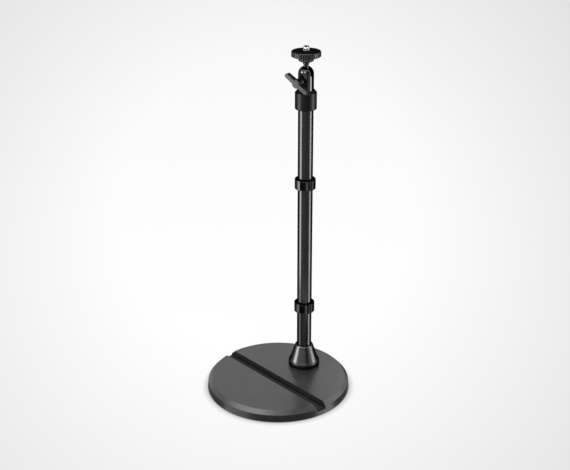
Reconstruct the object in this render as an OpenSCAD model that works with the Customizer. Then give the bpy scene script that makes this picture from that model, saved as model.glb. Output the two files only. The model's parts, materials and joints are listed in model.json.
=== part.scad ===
// Desk stand with a slotted round base, a straight pole and a mini ball head.
// Millimetres, +Z up. The origin is the centre of the base's underside and +X runs along the slot.

/* [Base] */
// Diameter of the base at its foot
base_d = 156; // [140:1:200]
// Height of the base, pad included
base_h = 12.3; // [12:0.1:18]
// How far the wall leans in, from its foot to the bevel
wall_draft = 0.9; // [0:0.1:1.2]
// Width of the bevel round the top edge
bevel_w = 4.1; // [3:0.1:7]
// Height of that bevel
bevel_h = 4.1; // [3:0.1:4.6]
// Thickness of the cover's top
cover_t = 2; // [1.6:0.1:2.6]
// Thickness of the cover's rim
rim_t = 2.4; // [1.6:0.1:4]
// Gap between the cover's lower edge and the table
rim_lift = 0.8; // [0.4:0.1:1.2]
// Thickness of the anti-slip pad
pad_t = 1.4; // [1.2:0.1:2]
// Thickness of the bottom plate
bottom_t = 1.2; // [1:0.1:2]
// Radius of the circle that the base screws lie on
screw_ring_r = 58; // [45:1:62]
// Radius of a base screw's thread
base_screw_r = 1.5; // [1.25:0.25:2]

/* [Slot] */
// Width of the slot at the top face
slot_w = 12.7; // [9:0.1:16]
// Distance of the slot's middle from the base's centre, towards the front
slot_offset = 8; // [0:0.1:12]
// Depth of the slot down to its lining
slot_depth = 6; // [3:0.1:6.2]
// How far the front wall leans in, per millimetre of depth
slot_lean = 0.26; // [0:0.01:0.4]
// How far the back wall leans in, per millimetre of depth
slot_back_lean = 0.05; // [0:0.01:0.2]
// Thickness of the lining
liner_t = 1.1; // [0.6:0.1:1.3]
// How far the lining's edges stay below the top face
liner_drop = 2.8; // [1:0.1:3.2]

/* [Pole] */
// Distance of the pole's axis in from the base's rear edge
pole_inset = 39.3; // [32:0.1:46]
// Radius of the pole tube
tube_r = 8; // [6.5:0.1:9]
// Wall of the pole tube
tube_wall = 1.2; // [1:0.1:2]
// Length of the pole tube
tube_len = 309.1; // [200:0.1:400]
// Length of the threaded plug in the tube's foot
foot_plug_len = 26; // [22:1:40]
// Length of the plain plug in the tube's top
top_plug_len = 22; // [14:1:40]
// Radius of the pole bolt's thread
bolt_r = 4; // [3:0.5:4]
// Height of the pole bolt's head
bolt_head_h = 3.4; // [2.6:0.1:3.6]
// Thickness of the washer under the bolt's head
washer_t = 1.6; // [1:0.1:2]

/* [Foot] */
// Radius of the ring that the foot stands on
foot_ring_r = 17.2; // [15:0.1:20]
// Height of that ring
foot_ring_h = 5.7; // [2:0.1:8]
// Radius of the foot cone at its lower lip
cone_r = 16.5; // [14:0.1:20]
// Radius of the foot cone at its top
cone_top_r = 9.9; // [9.2:0.1:12]
// Height of the foot cone
cone_h = 19.3; // [12:0.1:30]
// Wall of the foot cone
cone_wall = 1.8; // [1:0.1:2.4]

/* [Cable clips] */
// Height of a clip
clip_h = 11.3; // [8:0.1:16]
// Wall of a clip
clip_wall = 3; // [2.4:0.1:4]
// Height of the lower clip's bottom edge above the table
lower_clip_z = 78.8; // [60:0.1:120]
// Height of the upper clip's bottom edge above the table
upper_clip_z = 222.6; // [170:0.1:240]
// Way the cable recess faces, in degrees from +X
clip_turn = -56; // [-180:1:180]
// Width of the cable recess
recess_w = 6.5; // [4:0.1:8]
// Depth of the cable recess
recess_depth = 2; // [1:0.1:2.2]
// Width of the split that lets a clip spring open
split_w = 1.1; // [0.5:0.1:2]

/* [Top coupling] */
// Wall of the coupling round the tube
coupling_wall = 3.2; // [2.4:0.05:4]
// Length of tube inside the coupling
coupling_grip = 12; // [8:0.1:16]
// Thickness of the wall between the tube and the spigot
web_t = 2.2; // [1.6:0.1:4]
// Length of the ball head's spigot
spigot_len = 5.2; // [4.6:0.1:8]
// Radius of the spigot
spigot_r = 5; // [4.4:0.1:5.4]
// Radius of a grub screw's thread
grub_r = 1.5; // [1.2:0.1:1.6]
// Thickness of the washer that the head turns on
pan_washer_t = 0.9; // [0.6:0.1:1.2]

/* [Ball head] */
// Way the notch faces, in degrees from +X
head_turn = 13; // [-180:1:180]
// Radius of the housing
housing_r = 8.1; // [7.6:0.1:9.6]
// Radius of the ball
ball_r = 5; // [4.8:0.1:5.1]
// Height of the ball's centre above the housing's foot
ball_rise = 17.2; // [17:0.1:24]
// Radius of the neck
neck_r = 2.6; // [2.2:0.1:2.8]
// Distance from the ball's centre to the platform's underside
neck_len = 12.5; // [12:0.1:18]
// Drop of the clamp screw's axis below the ball's centre
clamp_drop = 7; // [6.6:0.1:7.4]
// Radius of the clamp screw's thread
clamp_r = 2.45; // [2:0.05:2.5]
// Reach of the flat that the clamp screw enters, from the housing's axis
flat_reach = 6; // [5.8:0.1:7]
// Radius of that flat
flat_r = 5.4; // [4.6:0.1:6]

/* [T-handle] */
// Distance of the T-bar's middle from the housing's axis
bar_reach = 17; // [15:0.1:22]
// Length of the T-bar
bar_len = 30.5; // [20:0.5:36]
// Width of the T-bar
bar_w = 4.2; // [3.6:0.1:6]
// Thickness of the T-bar
bar_t = 4.4; // [3.4:0.1:5]
// Radius of the handle's hub
hub_r = 4.7; // [3.8:0.1:5.2]
// Length of the handle's hub
hub_len = 4.8; // [4.4:0.1:7]
// Turn of the T-bar out of level, in degrees
bar_turn = -32; // [-90:1:90]

/* [Platform] */
// Radius of the lock ring
lock_ring_r = 7.8; // [6.5:0.1:9]
// Width of the taper under the lock ring
ring_taper = 1.2; // [1:0.1:3]
// Height of the lock ring
lock_ring_h = 4.8; // [3.4:0.1:6]
// Radius of the platform disc
disc_r = 15.1; // [13:0.1:20]
// Thickness of the platform disc
disc_t = 5.8; // [3.6:0.1:6.4]
// Number of flutes round the disc
disc_flutes = 36; // [24:2:44]
// Width of the bare rim round the rubber pad
disc_rim = 1.9; // [1.6:0.1:3]
// Thickness of the rubber pad
top_pad_t = 1.1; // [0.9:0.1:1.4]
// How far the rubber pad stands above the rim
pad_proud = 0.3; // [0.1:0.1:0.5]
// Radius of the camera screw, a quarter inch across
stud_r = 3.175; // [3:0.005:3.2]
// Length of camera screw above the pad
stud_len = 4.8; // [4:0.1:7]

/* [Fits] */
// Radial clearance of a running fit
running = 0.05; // [0.03:0.01:0.08]
// Radial clearance of a piece that drops in loosely
loose = 0.2; // [0.15:0.05:0.3]
// Clearance of a piece laid in a moulded space
laid = 0.5; // [0.3:0.1:0.8]

/* [Hidden] */
$fn = 96;

// Colours
satin_black = "#2b2b2d";
gloss_black = "#161617";
rubber_black = "#1a1a1a";
grey_metal = "#77787a";
bright_metal = "#c9cacc";

// Cuts run past a face by this much
past = 1;
// Small edge break of turned and moulded pieces
edge = 0.6;

// Heights and radii of the base
base_r = base_d / 2;
bevel_r = base_r - wall_draft;
cover_in = base_h - cover_t;
bevel_z = base_h - bevel_h;
bevel_miter = cover_t * tan(22.5);
cavity_r = base_r - rim_t;
weight_z = pad_t + bottom_t;
screw_turns = [45, 135, 225, 315];
screw_len = 7;
screw_head_r = base_screw_r * 1.8;
boss_r = base_screw_r + 2;
weight_hole_r = 9.5;

// Section of the slot: the face of each wall at height z
slot_front_y = -slot_offset - slot_w / 2;
slot_back_y = -slot_offset + slot_w / 2;
slot_floor = base_h - slot_depth;
trough_floor = slot_floor - liner_t;
trough_t = 1.2;
trough_side = 1.6;
function front_face(z) = slot_front_y + slot_lean * (base_h - z);
function back_face(z) = slot_back_y - slot_back_lean * (base_h - z);

// Stack of the pole and its foot
pole_offset = base_r - pole_inset;
cone_z = base_h + foot_ring_h;
tube_top = base_h + tube_len;
tube_bore_r = tube_r - tube_wall;
bolt_head_r = bolt_r * 1.6;
bolt_head_z = cover_in - washer_t - bolt_head_h;
bolt_tip = base_h + foot_plug_len - 4;

// Stack of the coupling and the ball head
coupling_r = tube_r + running + coupling_wall;
coupling_z = tube_top - coupling_grip;
spigot_seat = tube_top + web_t;
spigot_z = spigot_seat + loose;
coupling_top = spigot_z + spigot_len - pan_washer_t;
head_z = coupling_top + pan_washer_t;
ball_z = head_z + ball_rise;
groove_r = spigot_r - 1.1;
grub_z = (spigot_seat + coupling_top) / 2;
tube_grub_z = coupling_z + coupling_grip / 2;
grub_turn = 90;
stud_thread_r = 3.9;
stud_thread_h = 3.2;
housing_bore_r = ball_r + 2 * running;
socket_r = ball_r + running;
mouth_r = neck_r + 1;
notch_r = neck_r + 0.4;
clamp_z = ball_z - clamp_drop;
clamp_turn = head_turn - 90;

// Brake shoe and the cone that lifts it
shoe_r = ball_r;
shoe_z = head_z + stud_thread_h + 1.5;
shoe_top = ball_z - 2.8;
tip_r = 0.3;
cone_base = shoe_r - 0.25;
cone_tip = cone_base - (clamp_r - tip_r);
shoe_slack = 0.2;

// Hub of the T-handle, a little behind the bar's front face
hub_front = bar_t / 2 - 0.3;
hub_back = hub_front - hub_len;

// Stack of the platform
ring_z = ball_z + neck_len;
disc_z = ring_z + lock_ring_h;
disc_top = disc_z + disc_t;
pad_top = disc_top + pad_proud;
pad_seat = pad_top - top_pad_t;
top_pad_r = disc_r - disc_rim;
spigot_end_r = neck_r - 0.2;
collar_r = neck_r + 0.7;
collar_z = ball_z + housing_r + 0.8;
stud_flange_r = stud_r + 2.2;
stud_flange_t = 1.3;
stud_neck_r = stud_r - 0.3;
stud_foot = pad_top + 0.2;

// Places
module at_pole() { translate([0, pole_offset, 0]) children(); }
module at_screws() {
    for (turn = screw_turns) rotate(turn) translate([screw_ring_r, 0, 0]) children();
}
// Lays a shape made along +Z radially outwards from the pole's axis, at height z
module radially(turn, z) {
    at_pole() translate([0, 0, z]) rotate(turn) rotate([0, 90, 0]) children();
}
module tube(r, bore, h) {
    difference() {
        cylinder(r = r, h = h);
        translate([0, 0, -past]) cylinder(r = bore, h = h + 2 * past);
    }
}

// Outline of the base with its bevel, from height z up
module base_outline(z, inset = 0) {
    rotate_extrude($fn = 180) polygon([
        [0, z], [base_r - inset, z], [bevel_r - inset, bevel_z],
        [bevel_r - bevel_w - inset, base_h], [0, base_h]]);
}

// Section of the slot between heights low and high, shrunk by inset on each wall
module slot_section(low, high, inset = 0) {
    rotate([90, 0, 90]) linear_extrude(base_d + 2 * past, center = true) polygon([
        [front_face(low) + inset, low], [back_face(low) - inset, low],
        [back_face(high) - inset, high], [front_face(high) + inset, high]]);
}

// Block that holds the slot's trough; grow widens it for the counterweight's gap
module trough_block(grow = 0) {
    low = trough_floor - trough_t - grow;
    translate([-base_r, slot_front_y - trough_side - grow, low])
        cube([base_d, slot_w + 2 * (trough_side + grow), base_h - low]);
}

module cavity(gap = 0) {
    rotate_extrude($fn = 180) polygon([
        [0, -past], [cavity_r - gap, -past], [cavity_r - gap, bevel_z - bevel_miter],
        [bevel_r - bevel_w - bevel_miter - gap, cover_in], [0, cover_in]]);
}

module base_cover() color(satin_black) difference() {
    union() {
        difference() {
            base_outline(rim_lift);
            cavity();
        }
        intersection() {
            trough_block();
            base_outline(rim_lift, rim_t / 2);
        }
        at_screws() translate([0, 0, weight_z]) cylinder(r = boss_r, h = cover_in - weight_z + cover_t / 2);
    }
    slot_section(trough_floor, base_h + past);
    at_pole() cylinder(r = bolt_r + loose, h = base_h + past);
    at_screws() cylinder(r = base_screw_r + running, h = pad_t + screw_len + past);
}

module counterweight() color(grey_metal) difference() {
    intersection() {
        cavity(laid);
        translate([0, 0, weight_z]) cylinder(r = base_r, h = base_h);
    }
    trough_block(loose);
    at_pole() cylinder(r = weight_hole_r, h = base_h);
    at_screws() cylinder(r = boss_r + laid, h = base_h);
}

module bottom_plate() color(satin_black) difference() {
    translate([0, 0, pad_t]) cylinder(r = cavity_r - laid, h = bottom_t, $fn = 180);
    at_screws() screw_shape(loose, past);
}

// Countersunk screw, its head flush with the bottom plate's underside
module screw_shape(grow = 0, run = 0) {
    translate([0, 0, pad_t - run]) cylinder(r = screw_head_r + grow, h = run + grow / 2);
    translate([0, 0, pad_t])
        cylinder(r1 = screw_head_r + grow, r2 = base_screw_r + grow, h = screw_head_r - base_screw_r);
    translate([0, 0, pad_t]) cylinder(r = base_screw_r + grow, h = screw_len);
}

module base_screws() color(grey_metal) at_screws() difference() {
    screw_shape();
    translate([0, 0, pad_t - past]) cylinder(r = base_screw_r * 0.7, h = past + base_screw_r * 0.5, $fn = 6);
}

module anti_slip_pad() color(rubber_black)
    rotate_extrude($fn = 180) polygon([
        [0, 0], [cavity_r - laid - edge - 1, 0], [cavity_r - laid - 1, edge],
        [cavity_r - laid - 1, pad_t], [0, pad_t]]);

module slot_liner() color(rubber_black) intersection() {
    difference() {
        slot_section(trough_floor, base_h - liner_drop);
        slot_section(slot_floor, base_h, liner_t);
    }
    base_outline(0, loose);
}

module pole_bolt() color(grey_metal) at_pole() difference() {
    union() {
        translate([0, 0, bolt_head_z]) cylinder(r = bolt_head_r, h = bolt_head_h);
        translate([0, 0, bolt_head_z]) cylinder(r = bolt_r, h = bolt_tip - bolt_head_z - edge);
        translate([0, 0, bolt_tip - edge]) cylinder(r1 = bolt_r, r2 = bolt_r - edge, h = edge);
    }
    translate([0, 0, bolt_head_z - past])
        cylinder(r = bolt_r * 0.85, h = past + bolt_head_h * 0.7, $fn = 6);
}

module pole_washer() color(bright_metal) at_pole()
    translate([0, 0, cover_in - washer_t]) tube(weight_hole_r - laid, bolt_r + loose, washer_t);

module foot_ring() color(rubber_black) at_pole() rotate_extrude() polygon([
    [tube_r + running, base_h], [foot_ring_r - edge / 2, base_h], [foot_ring_r, base_h + edge / 2],
    [foot_ring_r, cone_z - edge], [foot_ring_r - edge, cone_z], [tube_r + running, cone_z]]);

// Spun cone with a rolled lip, open below and close round the tube at its top
module foot_cone() color(gloss_black) at_pole() rotate_extrude() difference() {
    union() {
        polygon([
            [tube_r + running, cone_z + edge], [cone_r - edge, cone_z + edge],
            [cone_top_r, cone_z + cone_h - edge], [cone_top_r - edge, cone_z + cone_h],
            [tube_r + running, cone_z + cone_h]]);
        translate([cone_r - edge, cone_z + edge]) circle(r = edge, $fn = 24);
    }
    polygon([
        [0, cone_z - past], [cone_r - edge - cone_wall, cone_z - past],
        [cone_r - edge - cone_wall, cone_z + edge],
        [tube_r + edge, cone_z + cone_h - 2 * cone_wall], [0, cone_z + cone_h - 2 * cone_wall]]);
    translate([0, cone_z + cone_h - 2 * cone_wall]) square([tube_r + running, 3 * cone_wall]);
}

module foot_plug() color(grey_metal) at_pole()
    translate([0, 0, base_h]) tube(tube_bore_r - running, bolt_r + running, foot_plug_len);

module pole_tube() color(satin_black) at_pole()
    translate([0, 0, base_h]) tube(tube_r, tube_bore_r, tube_len);

module top_plug() color(grey_metal) at_pole()
    translate([0, 0, tube_top - top_plug_len])
        tube(tube_bore_r - running, tube_bore_r / 2, top_plug_len);

// Split ring with a squared cable recess; its bore runs on the tube
module cable_clip(z) {
    outer = tube_r + running + clip_wall;
    split_turn = clip_turn + 31.5;
    hinge_turn = clip_turn + 48;
    at_pole() translate([0, 0, z]) difference() {
        rotate_extrude() polygon([
            [tube_r + running, edge], [tube_r + running + edge, 0], [outer - edge, 0], [outer, edge],
            [outer, clip_h - edge], [outer - edge, clip_h], [tube_r + 2 * edge, clip_h],
            [tube_r + running, clip_h - 1.5 * edge]]);
        rotate(clip_turn) translate([outer - recess_depth, -recess_w / 2, -past])
            cube([recess_depth + past, recess_w, clip_h + past - 3 * edge]);
        rotate(clip_turn) translate([outer - recess_depth / 2, -recess_w / 2, clip_h - 3 * edge - past])
            cube([recess_depth, recess_w, 4 * edge]);
        rotate(split_turn) translate([0, -split_w / 2, -past])
            cube([outer + past, split_w, clip_h + 2 * past]);
        rotate(hinge_turn) translate([outer, 0, -past]) cylinder(r = split_w, h = clip_h + 2 * past);
    }
}
module lower_cable_clip() color(gloss_black) cable_clip(lower_clip_z);
module upper_cable_clip() color(gloss_black) cable_clip(upper_clip_z);

module top_coupling() color(satin_black) difference() {
    at_pole() rotate_extrude() polygon([
        [0, coupling_z], [coupling_r - edge, coupling_z], [coupling_r, coupling_z + edge],
        [coupling_r, coupling_top - 2 * edge], [coupling_r - 2 * edge, coupling_top], [0, coupling_top]]);
    at_pole() translate([0, 0, coupling_z - past])
        cylinder(r = tube_r + running, h = coupling_grip + past);
    at_pole() translate([0, 0, spigot_seat]) cylinder(r = spigot_r + running, h = base_d);
    for (z = [tube_grub_z, grub_z]) radially(grub_turn, z) cylinder(r = grub_r + running, h = base_r);
}

// Grub screw from radius a to radius b, with a hexagon socket in its outer end
module grub_screw(z, a, b) {
    radially(grub_turn, z) difference() {
        translate([0, 0, a]) cylinder(r = grub_r, h = b - a);
        translate([0, 0, b - grub_r]) cylinder(r = grub_r * 0.55, h = base_r, $fn = 6);
    }
}
module tube_grub_screw() color(grey_metal) grub_screw(tube_grub_z, tube_r + running, coupling_r - edge);
module head_grub_screw() color(grey_metal) grub_screw(grub_z, groove_r + loose, coupling_r - edge);

module pan_washer() color(rubber_black) at_pole() translate([0, 0, coupling_top])
    tube(housing_r + 1.4, spigot_r + loose, pan_washer_t);

// Spigot that the head turns on, grooved for the grub screw, with a thread into the housing
module head_spigot() color(grey_metal) at_pole() difference() {
    union() {
        translate([0, 0, spigot_z]) cylinder(r = spigot_r, h = head_z - spigot_z);
        translate([0, 0, head_z]) cylinder(r = stud_thread_r, h = stud_thread_h);
    }
    translate([0, 0, grub_z - grub_r - loose]) tube(spigot_r + past, groove_r, 2 * (grub_r + loose));
}

// Domed housing with a rounded notch that the neck drops into when the ball is tipped
module head_housing() color(gloss_black) at_pole() difference() {
    union() {
        translate([0, 0, head_z]) cylinder(r1 = housing_r - edge, r2 = housing_r, h = edge);
        translate([0, 0, head_z + edge]) cylinder(r = housing_r, h = ball_rise - edge);
        translate([0, 0, ball_z]) sphere(r = housing_r);
    }
    translate([0, 0, head_z - past]) cylinder(r = stud_thread_r + running, h = stud_thread_h + 2 * past);
    translate([0, 0, head_z + stud_thread_h]) cylinder(r = housing_bore_r, h = ball_rise - stud_thread_h);
    translate([0, 0, ball_z]) sphere(r = socket_r);
    translate([0, 0, ball_z]) cylinder(r = mouth_r, h = 2 * housing_r);
    rotate(head_turn) translate([0, 0, ball_z]) {
        rotate([0, 90, 0]) cylinder(r = notch_r, h = housing_r + past);
        translate([0, -notch_r, 0]) cube([housing_r + past, 2 * notch_r, housing_r + past]);
    }
    rotate(clamp_turn) translate([0, 0, clamp_z]) rotate([0, 90, 0]) {
        cylinder(r = clamp_r + running, h = housing_r + past);
        translate([0, 0, flat_reach]) cylinder(r = flat_r, h = housing_r);
    }
}

// Cup under the ball, lifted by the clamp screw's cone
module brake_shoe() color(bright_metal) at_pole() difference() {
    translate([0, 0, shoe_z]) cylinder(r = shoe_r, h = shoe_top - shoe_z);
    translate([0, 0, ball_z]) sphere(r = socket_r);
    rotate(clamp_turn) translate([0, 0, clamp_z - shoe_slack]) rotate([0, 90, 0])
        translate([0, 0, cone_tip - shoe_slack])
            cylinder(r1 = tip_r, r2 = clamp_r + 2 * shoe_slack + past, h = clamp_r - tip_r + 2 * shoe_slack + past);
}

module ball_stem() color(bright_metal) at_pole() difference() {
    union() {
        translate([0, 0, ball_z]) sphere(r = ball_r);
        translate([0, 0, ball_z]) cylinder(r = neck_r, h = neck_len);
        translate([0, 0, collar_z]) cylinder(r1 = neck_r, r2 = collar_r, h = collar_r - neck_r);
        translate([0, 0, collar_z + collar_r - neck_r])
            cylinder(r = collar_r, h = ring_z - collar_z - collar_r + neck_r);
        translate([0, 0, ring_z]) cylinder(r = spigot_end_r, h = lock_ring_h - running);
    }
    translate([0, 0, ball_z - 2 * ball_r]) cylinder(r = ball_r, h = ball_r + 0.5);
}

// Row of rounded flutes cut into a rim of radius r
module flutes(r, count, depth, low, high) {
    flute_r = PI * r / count * 0.62;
    for (i = [0:count - 1]) rotate(i * 360 / count)
        translate([r + flute_r - depth, 0, low]) cylinder(r = flute_r, h = high - low, $fn = 24);
}

module lock_ring() color(gloss_black) at_pole() difference() {
    rotate_extrude() polygon([
        [spigot_end_r + running, ring_z], [lock_ring_r - ring_taper, ring_z],
        [lock_ring_r, ring_z + ring_taper * 0.7], [lock_ring_r, disc_z], [spigot_end_r + running, disc_z]]);
    flutes(lock_ring_r, disc_flutes / 2, 0.35, ring_z, disc_z + past);
}

module platform_disc() color(gloss_black) at_pole() difference() {
    rotate_extrude() polygon([
        [stud_neck_r + running, disc_z], [disc_r - 2 * edge, disc_z], [disc_r, disc_z + edge],
        [disc_r, disc_top - edge], [disc_r - edge, disc_top], [top_pad_r + running, disc_top],
        [top_pad_r + running, pad_seat], [stud_flange_r + running, pad_seat],
        [stud_flange_r + running, pad_seat - stud_flange_t],
        [stud_neck_r + running, pad_seat - stud_flange_t]]);
    flutes(disc_r, disc_flutes, 0.55, disc_z - past, disc_top + past);
}

// Rubber facing with two raised grip rings
module platform_pad() color(rubber_black) at_pole() rotate_extrude() polygon([
    [stud_r + loose, pad_seat], [top_pad_r, pad_seat], [top_pad_r, pad_top - edge / 2],
    [top_pad_r - edge, pad_top], [top_pad_r - 3 * edge, pad_top], [top_pad_r - 3.5 * edge, pad_top - edge / 2],
    [stud_flange_r + 1.5 * edge, pad_top - edge / 2], [stud_flange_r + edge, pad_top],
    [stud_r + loose, pad_top]]);

// Flanged stud; its neck passes the disc and the pad, and the threaded part starts just above
module camera_screw() color(bright_metal) at_pole() {
    translate([0, 0, disc_z]) cylinder(r = stud_neck_r, h = stud_foot - disc_z);
    translate([0, 0, stud_foot]) cylinder(r = stud_r, h = pad_top + stud_len - edge - stud_foot);
    translate([0, 0, pad_seat - stud_flange_t]) cylinder(r = stud_flange_r, h = stud_flange_t);
    translate([0, 0, pad_top + stud_len - edge]) cylinder(r1 = stud_r, r2 = stud_r - edge, h = edge);
}

module clamp_screw() color(grey_metal) radially(clamp_turn, clamp_z) {
    translate([0, 0, cone_tip]) cylinder(r1 = tip_r, r2 = clamp_r, h = clamp_r - tip_r);
    translate([0, 0, cone_base]) cylinder(r = clamp_r, h = bar_reach - cone_base);
}

// T-bar: its front outline and its side outline meet in one shape with thinned round ends
module bar_blank() {
    intersection() {
        linear_extrude(2 * bar_t, center = true) {
            square([bar_w, bar_len - bar_w], center = true);
            for (s = [-1, 1]) translate([0, s * (bar_len - bar_w) / 2]) circle(d = bar_w);
        }
        rotate([0, 90, 0]) linear_extrude(2 * bar_w, center = true) polygon([
            [-bar_t / 2, -hub_r], [-bar_t * 0.4, -bar_len / 2], [bar_t * 0.4, -bar_len / 2],
            [bar_t / 2, -hub_r], [bar_t / 2, hub_r], [bar_t * 0.4, bar_len / 2],
            [-bar_t * 0.4, bar_len / 2], [-bar_t / 2, hub_r]]);
    }
}
module t_handle() color(grey_metal) radially(clamp_turn, clamp_z) translate([0, 0, bar_reach]) difference() {
    union() {
        rotate(bar_turn) bar_blank();
        rotate_extrude() polygon([
            [0, hub_back], [hub_r - edge, hub_back], [hub_r, hub_back + edge],
            [hub_r, hub_front - edge], [hub_r - edge, hub_front], [0, hub_front]]);
    }
    translate([0, 0, -hub_len]) cylinder(r = clamp_r + running, h = hub_len + running);
}

base_cover();
counterweight();
bottom_plate();
base_screws();
anti_slip_pad();
slot_liner();
pole_bolt();
pole_washer();
foot_ring();
foot_cone();
foot_plug();
pole_tube();
top_plug();
lower_cable_clip();
upper_cable_clip();
top_coupling();
tube_grub_screw();
head_grub_screw();
pan_washer();
head_spigot();
head_housing();
brake_shoe();
ball_stem();
lock_ring();
platform_disc();
platform_pad();
camera_screw();
clamp_screw();
t_handle();
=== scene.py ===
import json
import math

import bmesh
import bpy
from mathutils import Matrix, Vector


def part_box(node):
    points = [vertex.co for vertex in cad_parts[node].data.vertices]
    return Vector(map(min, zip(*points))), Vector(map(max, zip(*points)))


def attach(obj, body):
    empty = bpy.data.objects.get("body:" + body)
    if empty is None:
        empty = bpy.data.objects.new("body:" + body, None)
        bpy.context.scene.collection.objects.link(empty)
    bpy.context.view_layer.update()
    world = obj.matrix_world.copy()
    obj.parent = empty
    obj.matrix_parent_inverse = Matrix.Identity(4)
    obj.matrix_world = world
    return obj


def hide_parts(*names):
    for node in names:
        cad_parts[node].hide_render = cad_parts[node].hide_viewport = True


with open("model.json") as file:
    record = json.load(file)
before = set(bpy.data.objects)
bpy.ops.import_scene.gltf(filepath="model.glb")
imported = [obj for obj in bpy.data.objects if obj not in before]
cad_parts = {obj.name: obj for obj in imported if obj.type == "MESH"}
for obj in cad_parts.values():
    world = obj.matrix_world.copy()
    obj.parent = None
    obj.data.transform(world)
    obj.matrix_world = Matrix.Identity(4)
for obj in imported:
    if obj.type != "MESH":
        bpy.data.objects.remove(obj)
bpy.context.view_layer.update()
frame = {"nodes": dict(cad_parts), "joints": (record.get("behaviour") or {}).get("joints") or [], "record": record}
node = frame["nodes"]

# --- Camera -------------------------------------------------------------------
# The stand is looked at from its front right, from above its head. The lens is
# a long one, so that the pole's sides stay nearly parallel.
camera_place = Vector((0.7871, -0.7030, 0.6323))
camera_tilt, camera_pan = 66.806, 47.826
camera_data = bpy.data.cameras.new("camera")
camera_data.lens = 69.34
camera_data.sensor_width = 36
camera_data.clip_start, camera_data.clip_end = 0.05, 60
camera = bpy.data.objects.new("camera", camera_data)
camera.location = camera_place
camera.rotation_euler = (math.radians(camera_tilt), 0, math.radians(camera_pan))
bpy.context.scene.collection.objects.link(camera)
bpy.context.scene.camera = camera
bpy.context.scene.view_settings.view_transform = "Standard"

# --- Studio -------------------------------------------------------------------
# A seamless pale floor and a white surround. The floor glows for the camera and
# in gloss, and takes only a faint shadow, as a lit sweep of paper does.
floor_radius = 12
floor_mesh = bpy.data.meshes.new("floor")
bm = bmesh.new()
bmesh.ops.create_circle(bm, cap_ends=True, radius=floor_radius, segments=96)
bm.to_mesh(floor_mesh)
bm.free()
floor = bpy.data.objects.new("floor", floor_mesh)
bpy.context.scene.collection.objects.link(floor)


def node_maker(tree):
    """A function that adds a shader node, sets its values and links its sockets."""
    def make(kind, links=None, **values):
        n = tree.nodes.new("ShaderNode" + kind)
        for key, value in values.items():
            setattr(n, key, value)
        for socket, source in (links or {}).items():
            if isinstance(source, bpy.types.NodeSocket):
                tree.links.new(source, n.inputs[socket])
            else:
                n.inputs[socket].default_value = source
        return n
    return make


def seen_directly(make):
    """1 for what the camera sees itself, in gloss or through glass, and 0 for the rest."""
    path = make("LightPath")
    either = make("Math", {0: path.outputs["Is Camera Ray"], 1: path.outputs["Is Glossy Ray"]},
                  operation="MAXIMUM").outputs[0]
    return make("Math", {0: either, 1: path.outputs["Is Transmission Ray"]},
                operation="MAXIMUM").outputs[0]


# The glow is strongest along the line of sight to one place behind the stand and
# falls with the angle from it, between two limits. A narrow shade keeps to the
# foot of whatever stands on the floor
palest_place = Vector((-0.41, 0.34, 0))
glow_at_best, glow_fall = 1.035, -1.32
least_glow, most_glow = 0.70, 0.91
shade_reach = 0.008
floor_paint = bpy.data.materials.new("floor_paint")
floor_paint.use_nodes = True
tree = floor_paint.node_tree
tree.nodes.clear()
make = node_maker(tree)
place = make("TexCoord").outputs["Object"]
sight = make("VectorMath", {0: place, 1: camera_place}, operation="SUBTRACT").outputs[0]
sight = make("VectorMath", {0: sight}, operation="NORMALIZE").outputs[0]
palest_sight = (palest_place - camera_place).normalized()
off = make("VectorMath", {0: sight, 1: palest_sight}, operation="DOT_PRODUCT").outputs["Value"]
off = make("Math", {0: 1.0, 1: off}, operation="SUBTRACT", use_clamp=True).outputs[0]
off = make("Math", {0: off, 1: 0.5}, operation="POWER").outputs[0]
fall = make("Math", {0: off, 1: glow_fall, 2: glow_at_best}, operation="MULTIPLY_ADD").outputs[0]
fall = make("Math", {0: fall, 1: most_glow}, operation="MINIMUM").outputs[0]
fall = make("Math", {0: fall, 1: least_glow}, operation="MAXIMUM").outputs[0]
shade = make("AmbientOcclusion", {"Distance": shade_reach}, samples=8).outputs["AO"]
fall = make("Math", {0: fall, 1: shade}, operation="MULTIPLY").outputs[0]
matt = make("BsdfDiffuse", {"Color": (0.12, 0.12, 0.12, 1)}).outputs[0]
glow = make("Emission", {"Color": (1, 1, 1, 1), "Strength": fall}).outputs[0]
lit = make("AddShader", {0: matt, 1: glow}).outputs[0]
dull = make("BsdfDiffuse", {"Color": (0.35, 0.35, 0.35, 1)}).outputs[0]
both = make("MixShader", {0: seen_directly(make), 1: dull, 2: lit}).outputs[0]
make("OutputMaterial", {"Surface": both})
floor_mesh.materials.append(floor_paint)

# The surround is white to look at and in gloss, and lights matt surfaces little
world = bpy.data.worlds.new("surround")
bpy.context.scene.world = world
world.use_nodes = True
world.node_tree.nodes.clear()
make = node_maker(world.node_tree)
white = make("Background", {"Color": (1, 1, 1, 1), "Strength": 0.95}).outputs[0]
dim = make("Background", {"Color": (1, 1, 1, 1), "Strength": 0.25}).outputs[0]
both = make("MixShader", {0: seen_directly(make), 1: dim, 2: white}).outputs[0]
make("OutputWorld", {"Surface": both})

# --- Base cover and bottom plate ------------------------------------------------
# A die-cast lid with a bevel round its top edge and a straight slot right across
# it, in which a phone or a tablet stands. A flat plate closes it from below. Both
# are painted satin black with a fine sand texture.


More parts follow.
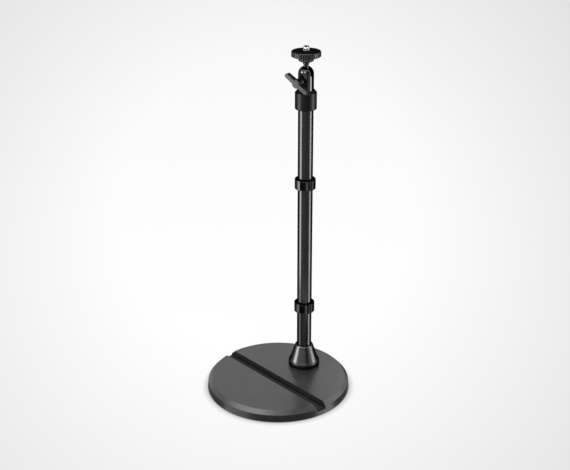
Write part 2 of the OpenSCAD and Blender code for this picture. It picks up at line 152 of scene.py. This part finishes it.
def finish(name, scale, tones, rough, bump=0.0, relief=0.0, along_pole=1, metal=0.0,
           edge=1.0, level=0.5):
    """A new material that varies with one fine noise, of this scale, on the piece itself.

    Its colour runs between the two tones, its roughness between the two of rough,
    and a bump gives it relief of a depth in metres; along_pole multiplies the
    noise's scale in that direction. Many black pieces, metal or not, are given as
    metals with a low edge, which keeps them dark where they are seen at a slant.
    """
    material = bpy.data.materials.new(name)
    material.use_nodes = True
    tree = material.node_tree
    shader = tree.nodes["Principled BSDF"]
    shader.inputs["Metallic"].default_value = metal
    shader.inputs["Specular Tint"].default_value = (edge, edge, edge, 1)
    shader.inputs["Specular IOR Level"].default_value = level
    broader, broad_share = 23, 0.35
    spread = {"From Min": 0.3, "From Max": 0.7}
    make = node_maker(tree)
    place = make("TexCoord").outputs["Object"]
    sized = make("Mapping", {"Vector": place, "Scale": (1, 1, along_pole)}).outputs[0]
    fine = make("TexNoise", {"Vector": sized, "Scale": scale, "Detail": 3.0,
                             "Roughness": 0.6}).outputs["Fac"]
    broad = make("TexNoise", {"Vector": sized, "Scale": scale / broader,
                              "Detail": 2.0}).outputs["Fac"]
    mixed = make("Mix", {0: broad_share, 2: fine, 3: broad}, data_type="FLOAT").outputs[0]
    tone = make("MapRange", {"Value": mixed, **spread}).outputs[0]
    first, last = tones
    colour = make("Mix", {0: tone, 6: (*first, 1), 7: (*last, 1)}, data_type="RGBA").outputs[2]
    tree.links.new(colour, shader.inputs["Base Color"])
    roughness = make("MapRange", {"Value": mixed, **spread, "To Min": rough[0],
                                  "To Max": rough[1]}).outputs[0]
    tree.links.new(roughness, shader.inputs["Roughness"])
    if bump:
        raised = make("Bump", {"Height": fine, "Strength": bump, "Distance": relief}).outputs[0]
        tree.links.new(raised, shader.inputs["Normal"])
    return material


def wear(material, *things):
    """Gives pieces, or the CAD nodes of these names, one material all over."""
    for thing in things:
        slots = (node[thing] if isinstance(thing, str) else thing).data.materials
        if slots:
            for i in range(len(slots)):
                slots[i] = material
        else:
            slots.append(material)


def shown(name, bm, body, stands_for, bends=()):
    """A finished piece from a bmesh, riding on a body, in place of a CAD node.

    Corners on the faces in bends take the shading of the plain faces beside
    them, so that a flat face next to a rounded edge still looks flat.
    """
    one_surface = 0.77  # the least dot product of two normals that count as one
    bmesh.ops.recalc_face_normals(bm, faces=bm.faces)
    bends = set(bends)
    corners = []
    for face in bm.faces:
        face.smooth = True
        for loop in face.loops:
            near = [f for f in loop.vert.link_faces if f not in bends] or loop.vert.link_faces
            alike = [f for f in near if f.normal.dot(face.normal) > one_surface] or [face]
            corners.append(sum((f.normal * f.calc_area() for f in alike), Vector()).normalized())
    mesh = bpy.data.meshes.new(name)
    bm.to_mesh(mesh)
    bm.free()
    mesh.normals_split_custom_set(corners)
    piece = bpy.data.objects.new(name, mesh)
    bpy.context.scene.collection.objects.link(piece)
    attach(piece, body)
    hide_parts(stands_for)
    return piece


# Corners nearer than this, in metres, are one corner
same_corner = 0.000002


def rounded(name, new_name, body, width):
    """A CAD solid's copy with its sharp edges rounded."""
    flat_to, sharp_from = math.radians(0.5), math.radians(25)
    bm = bmesh.new()
    bm.from_mesh(node[name].data)
    bmesh.ops.remove_doubles(bm, verts=bm.verts, dist=same_corner)
    bmesh.ops.dissolve_limit(bm, angle_limit=flat_to, verts=bm.verts, edges=bm.edges)
    sharp = [edge for edge in bm.edges
             if len(edge.link_faces) == 2 and edge.calc_face_angle(0) > sharp_from]
    bends = bmesh.ops.bevel(bm, geom=sharp, offset=width, offset_type="OFFSET", segments=3,
                            profile=0.5, affect="EDGES", clamp_overlap=True,
                            material=-1)["faces"]
    return shown(new_name, bm, body, name, bends)


sand_paint = finish("sand_paint", 1900, ((0.014, 0.014, 0.015), (0.026, 0.026, 0.027)),
                    rough=(0.22, 0.30), bump=0.2, relief=0.00005, level=0.6)
cover = rounded("base_cover", "cover_shell", "stand", 0.0004)
wear(sand_paint, cover, "bottom_plate")

# --- Slot liner, pads and washer ------------------------------------------------
# The strip pressed into the slot, so that a device neither slides nor gets
# scratched, and the pad glued under the base are soft rubber. The platform's pad
# is a duller one, and the washer that the head turns on is plastic as dull.
soft_rubber = finish("soft_rubber", 1500, ((0.010, 0.010, 0.010), (0.022, 0.022, 0.022)),
                     rough=(0.62, 0.80), bump=0.3, relief=0.00005, level=0.25)
wear(soft_rubber, "slot_liner", "anti_slip_pad")
dull_rubber = finish("dull_rubber", 1500, ((0.005, 0.005, 0.005), (0.013, 0.013, 0.013)),
                     rough=(0.55, 0.70), bump=0.3, relief=0.00005, metal=1.0, edge=0.1)
wear(dull_rubber, "platform_pad", "pan_washer")

# --- Weight, screws and plugs ---------------------------------------------------
# A cast iron disc, screwed into the cover with the plate, gives the stand its
# footing. The screws, the pole bolt's washer and the head's spigot are zinc-plated
# steel, and the plugs in the tube's ends are turned from light alloy.
cast_iron = finish("cast_iron", 700, ((0.07, 0.068, 0.066), (0.14, 0.135, 0.13)),
                   rough=(0.55, 0.8), bump=0.6, relief=0.0002, metal=0.7)
wear(cast_iron, "counterweight")
zinc = finish("zinc", 900, ((0.48, 0.48, 0.50), (0.62, 0.62, 0.63)),
              rough=(0.25, 0.40), bump=0.1, relief=0.00002, metal=1.0)
wear(zinc, "base_screws", "pole_bolt", "pole_washer", "tube_grub_screw", "head_grub_screw",
     "head_spigot")
turned_alloy = finish("turned_alloy", 1200, ((0.50, 0.50, 0.52), (0.62, 0.62, 0.63)),
                      rough=(0.30, 0.42), bump=0.2, relief=0.00003, along_pole=12, metal=1.0)
wear(turned_alloy, "foot_plug", "top_plug")

# --- Foot cone and ring ---------------------------------------------------------
# Spun metal in glossy black, with a rolled lip, on a ring of polished hard
# rubber. The pole's bolt holds both down on the cover, round the tube's foot.
gloss_black = finish("gloss_black", 800, ((0.055, 0.055, 0.056), (0.070, 0.070, 0.071)),
                     rough=(0.20, 0.26), metal=1.0, edge=0.1)
wear(gloss_black, "foot_cone")
hard_rubber = finish("hard_rubber", 1000, ((0.018, 0.018, 0.018), (0.026, 0.026, 0.026)),
                     rough=(0.26, 0.34), metal=1.0, edge=0.1)
wear(hard_rubber, "foot_ring")

# --- Pole tube and top coupling -------------------------------------------------
# A drawn tube, anodised satin black, with faint lines along it. The coupling is
# turned from solid metal and anodised too, and a grub screw holds it on the tube.
anodised = finish("anodised", 2200, ((0.038, 0.038, 0.039), (0.048, 0.048, 0.050)),
                  rough=(0.16, 0.20), bump=0.05, relief=0.00002, along_pole=0.05,
                  metal=1.0, edge=0.1)
wear(anodised, "pole_tube")
turned_black = finish("turned_black", 1500, ((0.014, 0.014, 0.0145), (0.019, 0.019, 0.0195)),
                      rough=(0.34, 0.42), bump=0.1, relief=0.00002, along_pole=4,
                      metal=1.0, edge=0.1)
wear(turned_black, rounded("top_coupling", "coupling_body", "stand", 0.0003))

# --- Cable clips ----------------------------------------------------------------
# Two split rings moulded in black plastic, which grip the tube and slide along
# it. Their tops and the recess for a cable are painted near black as shade and
# made rougher, and the narrow rib between the recess and the split is painted
# bright as a highlight.
low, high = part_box("pole_tube")
pole = (Vector(low) + Vector(high)) / 2
clip_plastic = finish("clip_plastic", 1300, ((0.030, 0.030, 0.031), (0.040, 0.040, 0.041)),
                      rough=(0.24, 0.32), bump=0.1, relief=0.00002, metal=1.0, edge=0.2)
# Painted shade: near black for the clips' tops and the cable recess
clip_painted_shade = finish("clip_painted_shade", 1300, ((0.003, 0.003, 0.003), (0.007, 0.007, 0.007)),
                   rough=(0.45, 0.60), bump=0.3, relief=0.00004, metal=1.0, edge=0.1)
# Painted highlight: bright for the narrow rib beside the split
clip_painted_highlight = finish("clip_painted_highlight", 1300, ((0.10, 0.10, 0.101), (0.13, 0.13, 0.131)),
                  rough=(0.24, 0.32), bump=0.1, relief=0.00002, metal=1.0, edge=0.2)
# The way that the recess faces and the rib's two edges counted from it, in degrees
recess_turn, rib_from, rib_to = -56, 17, 29
recess_least_depth = 0.0015
faces_up, faces_out, faces_straight_out = 0.4, 0.3, 0.9
clips = [rounded("lower_cable_clip", "lower_clip_ring", "lower_clip", 0.0003),
         rounded("upper_cable_clip", "upper_clip_ring", "upper_clip", 0.0003)]
for clip in clips:
    for look in (clip_plastic, clip_painted_shade, clip_painted_highlight):
        clip.data.materials.append(look)
    clip_radius = (clip.bound_box[4][0] - clip.bound_box[0][0]) / 2
    for polygon in clip.data.polygons:
        out = Vector((polygon.center.x - pole.x, polygon.center.y - pole.y, 0))
        turned = (math.degrees(math.atan2(out.y, out.x)) - recess_turn + 180) % 360 - 180
        outward = polygon.normal.dot(out.normalized())
        on_top = polygon.normal.z > faces_up
        in_recess = outward > faces_out and out.length < clip_radius - recess_least_depth
        on_rib = outward > faces_straight_out and rib_from < turned < rib_to
        # Tops and recess faces take the painted shade, the rib the painted highlight
        if on_top or in_recess:
            polygon.material_index = 1
        elif on_rib:
            polygon.material_index = 2

# --- Ball head ------------------------------------------------------------------
# A turned and polished housing in glossy black, screwed on its spigot. The flat
# that the clamp screw enters is milled, made rougher and painted near black as
# shade.


def short_of(material, limit, turn, soft):
    """1 where the reach from the pole's axis in one direction is under a limit, or else 0."""
    make = node_maker(material.node_tree)
    place = make("TexCoord").outputs["Object"]
    place = make("VectorMath", {0: place, 1: pole}, operation="SUBTRACT").outputs[0]
    way = (math.cos(math.radians(turn)), math.sin(math.radians(turn)), 0)
    reach = make("VectorMath", {0: place, 1: way}, operation="DOT_PRODUCT").outputs["Value"]
    return make("MapRange", {"Value": reach, "From Min": limit - soft, "From Max": limit,
                             "To Min": 1.0, "To Max": 0.0}).outputs[0]


def dark_where(material, mask, tone, rough):
    """Gives a finish one dark tone and one roughness where the mask is 1."""
    make = node_maker(material.node_tree)
    link = material.node_tree.links.new
    inputs = material.node_tree.nodes["Principled BSDF"].inputs
    before = inputs["Base Color"].links[0].from_socket
    colour = make("Mix", {0: mask, 6: before, 7: (tone, tone, tone, 1)}, data_type="RGBA")
    link(colour.outputs[2], inputs["Base Color"])
    before = inputs["Roughness"].links[0].from_socket
    roughness = make("Mix", {0: mask, 2: before, 3: rough}, data_type="FLOAT")
    link(roughness.outputs[0], inputs["Roughness"])


head_black = finish("head_black", 800, ((0.055, 0.055, 0.056), (0.070, 0.070, 0.071)),
                    rough=(0.08, 0.12), metal=1.0, edge=0.1)
clamp = next(joint for joint in frame["joints"] if joint["name"] == "clamp_feed")
clamp_way = math.degrees(math.atan2(clamp["axis"][1], clamp["axis"][0]))
flat_from, flat_to, flat_soft = 0.0058, 0.0062, 0.0001
make = node_maker(head_black.node_tree)
inside = short_of(head_black, flat_from, clamp_way, flat_soft)
not_inside = make("Math", {0: 1.0, 1: inside}, operation="SUBTRACT").outputs[0]
not_beyond = short_of(head_black, flat_to, clamp_way, flat_soft)
on_flat = make("Math", {0: not_inside, 1: not_beyond}, operation="MULTIPLY").outputs[0]
# The flat is painted near black as shade, and made rougher
dark_where(head_black, on_flat, tone=0.012, rough=0.4)
wear(head_black, "head_housing")

# --- Platform -------------------------------------------------------------------
# The fluted disc that a device is screwed down on, and the fluted lock ring under
# it, which holds its turn. Both are turned metal, blackened to a satin finish.
disc_black = finish("disc_black", 1100, ((0.028, 0.028, 0.0285), (0.036, 0.036, 0.0365)),
                    rough=(0.26, 0.34), bump=0.1, relief=0.00002, metal=1.0, edge=0.1)
wear(disc_black, rounded("lock_ring", "ring_grip", "platform", 0.0002),
     rounded("platform_disc", "disc_grip", "platform", 0.0002))

# --- Ball, brake shoe and camera screw ------------------------------------------
# The ball and its neck are black oxide steel, and the shoe that brakes the ball
# is brass. The camera screw is bright steel, with a flange under the pad and a
# rolled thread above it. Its end is rougher and painted near black as shade.
black_steel = finish("black_steel", 900, ((0.022, 0.022, 0.023), (0.032, 0.032, 0.033)),
                     rough=(0.12, 0.2), metal=1.0)
wear(black_steel, "ball_stem")
bright_steel = finish("bright_steel", 1500, ((0.80, 0.80, 0.80), (0.90, 0.90, 0.90)),
                      rough=(0.16, 0.22), bump=0.03, relief=0.00001, metal=1.0)
# Painted shade: near black for the screw's end
stud_end_painted_shade = finish("stud_end_painted_shade", 1500, ((0.03, 0.03, 0.03), (0.05, 0.05, 0.05)),
                  rough=(0.45, 0.60), bump=0.1, relief=0.00001, metal=1.0)
thread_depth, thread_pitch, tip_bevel = 0.00075, 0.00127, 0.0006


def threaded(bm, radius, low, high):
    """A right-handed thread about the pole's axis, as one closed solid with a bevelled tip.

    It is wound past both ends and cut off at them. Each corner of the tooth says
    how far along the pitch it lies and how far in from the crest.
    """
    steps, first_turn, on_plane = 36, -1.5, 0.000001
    turns = math.ceil((high - low) / thread_pitch) + 2
    tooth = ((0, thread_depth), (0.25, thread_depth), (0.5625, 0), (0.6875, 0))
    chain = [bm.verts.new((pole.x + radius - inner, pole.y,
                           low + (first_turn + turn + along) * thread_pitch))
             for turn in range(turns + 1) for along, inner in tooth]
    edges = [bm.edges.new(pair) for pair in zip(chain, chain[1:])]
    bmesh.ops.spin(bm, geom=chain + edges, cent=(pole.x, pole.y, 0), axis=(0, 0, 1),
                   dvec=(0, 0, thread_pitch / steps), angle=math.tau, steps=steps)
    bmesh.ops.remove_doubles(bm, verts=bm.verts, dist=same_corner)
    for height, way in ((low, -1), (high, 1)):
        everything = bm.verts[:] + bm.edges[:] + bm.faces[:]
        bmesh.ops.bisect_plane(bm, geom=everything, dist=on_plane, plane_co=(0, 0, height),
                               plane_no=(0, 0, way), clear_outer=True)
    open_edges = [edge for edge in bm.edges if edge.is_boundary]
    bmesh.ops.edgeloop_fill(bm, edges=open_edges)
    for vert in bm.verts:
        far = (vert.co.xy - pole.xy).length
        most = radius - tip_bevel + high - vert.co.z
        if far > most:
            vert.co.xy = pole.xy + (vert.co.xy - pole.xy) * (most / far)


stud_mount = next(m for m in frame["record"]["mounts"] if m["name"] == "camera_screw")
stud_radius = stud_mount["dims"]["r_mm"] / 1000
stud_low, stud_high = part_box("camera_screw")
pad_low, pad_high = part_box("platform_pad")
stud_foot, pad_seat, pad_top, stud_tip = stud_low[2], pad_low[2], pad_high[2], stud_high[2]
flange, flange_bevel = (stud_high[0] - stud_low[0]) / 2, 0.0002
flange_foot = pad_seat - 0.0013
neck, neck_top = stud_radius - 0.0003, pad_top + 0.0003
thread_foot = pad_top + 0.0002
bm = bmesh.new()
threaded(bm, stud_radius, thread_foot, stud_tip)
outline = [(0, stud_foot), (neck, stud_foot), (neck, flange_foot),
           (flange - flange_bevel, flange_foot), (flange, flange_foot + flange_bevel),
           (flange, pad_seat - flange_bevel), (flange - flange_bevel, pad_seat),
           (neck, pad_seat), (neck, neck_top), (0, neck_top)]
corners = [bm.verts.new((pole.x + far, pole.y, height)) for far, height in outline]
edges = [bm.edges.new(pair) for pair in zip(corners, corners[1:])]
bmesh.ops.spin(bm, geom=corners + edges, cent=(pole.x, pole.y, 0), axis=(0, 0, 1),
               angle=math.tau, steps=48, use_merge=True)
bmesh.ops.remove_doubles(bm, verts=bm.verts, dist=same_corner)
stud = shown("stud_thread", bm, "platform", "camera_screw")
for look in (bright_steel, stud_end_painted_shade):
    stud.data.materials.append(look)
painted_shade_length = 0.0008
# Faces at the screw's end take the painted shade
for polygon in stud.data.polygons:
    polygon.material_index = int(polygon.center.z > stud_tip - painted_shade_length)
brass = finish("brass", 900, ((0.50, 0.40, 0.22), (0.62, 0.52, 0.30)), rough=(0.28, 0.4),
               metal=1.0)
wear(brass, "brake_shoe")

# --- Clamp screw and T-handle ---------------------------------------------------
# The screw that clamps the ball and the T-bar on its end are bead-blasted grey
# metal, and the bar is darkest round its sides. The bar's copy is thickened, by
# moving its back closer to the housing.
blasted_grey = finish("blasted_grey", 2400, ((0.060, 0.060, 0.061), (0.080, 0.080, 0.081)),
                      rough=(0.44, 0.54), bump=0.2, relief=0.00003, metal=1.0)
wear(blasted_grey, "clamp_screw")
handle_grey = finish("handle_grey", 2400, ((0.024, 0.024, 0.025), (0.036, 0.036, 0.037)),
                     rough=(0.38, 0.48), bump=0.2, relief=0.00003, metal=1.0)
bar_front, front_soft, bar_back, bar_growth = 0.0188, 0.0003, 0.0155, 0.0016
bar_sides = short_of(handle_grey, bar_front, clamp_way, front_soft)
dark_where(handle_grey, bar_sides, tone=0.006, rough=0.5)
handle = rounded("t_handle", "handle_bar", "handle", 0.0004)
wear(handle_grey, handle)
clamp_axis = Vector(clamp["axis"])
for vertex in handle.data.vertices:
    if (vertex.co - pole).dot(clamp_axis) < bar_back:
        vertex.co -= clamp_axis * bar_growth

# --- Cards ----------------------------------------------------------------------
# Dark cards that lie on the floor round the base and further out, and one that
# stands upright to the right. Only gloss shows them, so the black metal has
# something dark to mirror.

# Directions are counted from the camera's, to its right, as seen from the pole
camera_turn = math.atan2(camera_place.y - pole.y, camera_place.x - pole.x)
base_middle = Vector()


def about(turn, distance, height):
    """A place round the pole."""
    a = camera_turn + math.radians(turn)
    return Vector((pole.x + distance * math.cos(a), pole.y + distance * math.sin(a), height))


def sector(centre, inner, outer, turn_from, turn_to, height):
    """Part of a flat ring round a centre, or of an upright wall where the radii are one."""
    wall = 1.5
    bm = bmesh.new()
    rise = wall if inner == outer else 0
    shift = centre - pole
    shift.z = 0
    ends = [bm.verts.new(about(turn_from, inner, height) + shift),
            bm.verts.new(about(turn_from, outer, height + rise) + shift)]
    edge = bm.edges.new(ends)
    bmesh.ops.spin(bm, geom=[edge, *ends], cent=Vector((pole.x, pole.y, 0)) + shift,
                   axis=(0, 0, 1), angle=math.radians(turn_to - turn_from), steps=32)
    return bm


def card(name, strength, *shape):
    """A dark card, a sector of plain glow that only gloss shows."""
    bm = sector(*shape)
    mesh = bpy.data.meshes.new(name)
    bm.to_mesh(mesh)
    bm.free()
    thing = bpy.data.objects.new(name, mesh)
    bpy.context.scene.collection.objects.link(thing)
    paint = bpy.data.materials.new(name)
    paint.use_nodes = True
    paint.node_tree.nodes.clear()
    make = node_maker(paint.node_tree)
    glow = make("Emission", {"Strength": strength}).outputs[0]
    make("OutputMaterial", {"Surface": glow})
    mesh.materials.append(paint)
    for ray in ("camera", "diffuse", "transmission", "volume_scatter", "shadow"):
        setattr(thing, "visible_" + ray, False)
    return thing


# Each line says: strength of the glow, centre, inner and outer radius, turn from
# and to in degrees, and height
cards = [card(name, *values) for name, *values in (
    ("near_card", 0.15, base_middle, 0.079, 0.15, -100, 100, 0.0004),
    ("near_right_card", 0.05, base_middle, 0.079, 0.15, 100, 170, 0.0004),
    ("near_left_card", 0.35, base_middle, 0.079, 0.15, -165, -100, 0.0004),
    ("far_card", 0.62, pole, 0.22, 1.2, -50, 0, 0.0008),
    ("far_right_card", 0.48, pole, 0.22, 1.2, 0, 58, 0.0008),
    ("rim_card", 0.03, pole, 0.12, 3.0, 97, 170, 0.0006),
    ("side_card", 0.12, pole, 1.3, 1.3, 12, 44, 0.0))]

# --- Lamps ----------------------------------------------------------------------
# Strip boxes and soft boxes round the stand. Some lamps shine on one piece alone,
# so that each surface shows the highlights that it should.


def group(name, state, things):
    """A collection that says what a lamp lights, or what shades it."""
    collection = bpy.data.collections.new(name)
    for thing in things:
        collection.objects.link(thing)
    for entry in collection.collection_objects:
        entry.light_linking.link_state = state
    return collection


def just(name, *things):
    """These things alone."""
    return group(name, "INCLUDE", things)


def all_but(name, *things):
    """Everything except these things."""
    return group(name, "EXCLUDE", things)


liner, tube, ring, cone, housing = (
    node[name] for name in ("slot_liner", "pole_tube", "foot_ring", "foot_cone", "head_housing"))
in_base = [node[name] for name in ("counterweight", "bottom_plate", "base_screws",
                                   "anti_slip_pad", "pole_bolt", "pole_washer")]
left_side = all_but("left_side", floor, cover, liner, housing)
just_housing = just("just_housing", housing)
right_side = all_but("right_side", floor, cover, liner, cone, housing, *clips)
low_side = all_but("low_side", floor, cover, liner, ring, *clips)
left_low_side = all_but("left_low_side", floor, cover, liner, ring)
not_base = all_but("not_base", floor, cover, liner, *in_base, *cards)
just_cover = just("just_cover", cover)
just_tube = just("just_tube", tube)
just_clips = just("just_clips", *clips)
just_cone = just("just_cone", cone)
just_stud = just("just_stud", stud)
not_floor = all_but("not_floor", floor, *cards)


def soft_box(name, turn, distance, height, width, length, radiance, aim, lights, shaded_by,
             round_one=False):
    """A lamp aimed at the pole's axis; its radiance is that of a white surface at 1."""
    lamp = bpy.data.lights.new(name, "AREA")
    lamp.shape = "ELLIPSE" if round_one else "RECTANGLE"
    lamp.size, lamp.size_y = width, length
    lamp.energy = radiance * width * length * math.pi * (math.pi / 4 if round_one else 1)
    box = bpy.data.objects.new(name, lamp)
    box.location = about(turn, distance, height)
    away = box.location - Vector((pole.x, pole.y, aim))
    box.rotation_euler = away.to_track_quat("Z", "Y").to_euler()
    box.light_linking.receiver_collection = lights
    box.light_linking.blocker_collection = shaded_by
    bpy.context.scene.collection.objects.link(box)


# Each line says: turn in degrees, distance, height, width, length, radiance,
# height aimed at, what it lights, what shades it (None for everything), and
# whether it is round. The strips light the pole and what it carries. Those under
# the floor's level stand for what a pale floor throws up from the sides
for name, *values in (
        ("left_strip", -74, 0.25, 0.21, 0.12, 0.42, 9.5, 0.21, left_side, None),
        ("right_strip", 83, 0.25, 0.21, 0.12, 0.42, 10.0, 0.21, right_side, None),
        ("housing_strip", 75, 0.25, 0.30, 0.09, 0.24, 7.5, 0.33, just_housing, None),
        ("clip_strip", 83, 0.25, 0.11, 0.12, 0.62, 2.2, 0.11, just_clips, not_base),
        ("cone_strip", 83, 0.25, 0.21, 0.12, 0.42, 4.7, 0.21, just_cone, None),
        ("left_low", -74, 0.25, -0.10, 0.12, 0.20, 3.0, -0.10, left_low_side, not_base),
        ("right_low", 83, 0.25, -0.10, 0.12, 0.20, 8.5, -0.10, low_side, not_base),
        ("front_low", 0, 0.25, -0.10, 0.40, 0.20, 0.3, -0.10, just_tube, not_base),
        ("wall_left", -62, 0.5, -0.27, 0.40, 0.25, 1.9, 0.0, just_cover, not_floor),
        ("wall_right", 72, 0.5, -0.27, 0.32, 0.25, 2.3, 0.0, just_cover, not_floor),
        ("stud_box", -30, 0.5, 0.11, 0.80, 0.30, 3.0, 0.11, just_stud, None),
        ("ceiling_box", -20, 0.25, 1.2, 0.8, 0.8, 4.0, 0.2, None, None),
        ("front_box", -18, 1.2, 1.04, 0.24, 0.24, 20.0, 0.35, None, None, True),
        ("dome_box", -68, 1.2, 0.78, 0.34, 0.34, 30.0, 0.35, just_housing, None, True),
        ("dome_front_box", -18, 1.2, 1.04, 0.32, 0.32, 20.0, 0.35, just_housing, None, True),
        ("bevel_box", -63, 0.48, 0.66, 0.7, 0.5, 3.5, 0.0, just_cover, None),
        ("back_box", 150, 0.55, 0.30, 0.4, 0.3, 1.2, 0.0, just_cover, None),
        ("side_box", 100, 0.55, 0.40, 0.5, 0.4, 1.4, 0.0, just_cover, None)):
    soft_box(name, *values)
